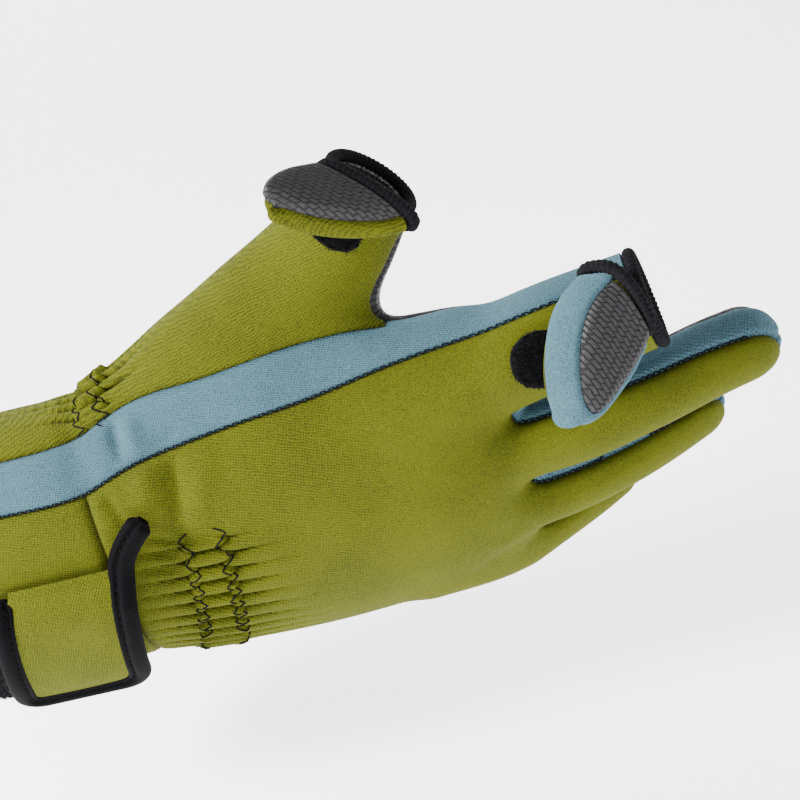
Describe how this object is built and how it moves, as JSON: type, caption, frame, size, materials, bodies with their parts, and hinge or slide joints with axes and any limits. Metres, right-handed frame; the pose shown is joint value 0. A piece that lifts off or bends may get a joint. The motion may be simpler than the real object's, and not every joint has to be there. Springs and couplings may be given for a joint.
{
  "type": "fishing glove",
  "caption": "Right-hand neoprene fishing glove, worn shape with its hollow open; thumb and index finger ends folded back, grip palm, shirred wrist and closing strap.",
  "frame": {"origin": "middle of the hand opening at the hem, where the wrist goes in", "axes": "+X from the hem to the finger ends, +Z towards the thumb side, -Y out of the back of the hand"},
  "size_m": [0.2593, 0.0687, 0.1525],
  "materials": {
    "olive_neoprene": "matt knit face",
    "slate_neoprene": "matt knit face",
    "black_grip": "embossed, low sheen",
    "black_edge": "stitched edge and bound tape, matt",
    "black_pile": "brushed hook and loop, matt"
  },
  "bodies": {
    "root": {"palm_panel": "black_grip", "back_panel": "olive_neoprene", "cuff_panel": "olive_neoprene", "thumb_panel": "olive_neoprene", "side_stripe": "slate_neoprene", "gusset_index_middle": "slate_neoprene", "gusset_middle_ring": "slate_neoprene", "gusset_ring_little": "slate_neoprene", "index_cap_face": "black_grip", "index_cap_band": "slate_neoprene", "index_cap_back": "olive_neoprene", "index_cap_edge": "black_edge", "index_mouth_edge": "black_edge", "index_patch": "black_pile", "thumb_cap_face": "black_grip", "thumb_cap_back": "olive_neoprene", "thumb_cap_edge": "black_edge", "thumb_mouth_edge": "black_edge", "thumb_patch": "black_pile", "strap_tab": "olive_neoprene", "strap_tape": "black_edge", "strap_pile": "black_pile"}
  },
  "joints": []
}
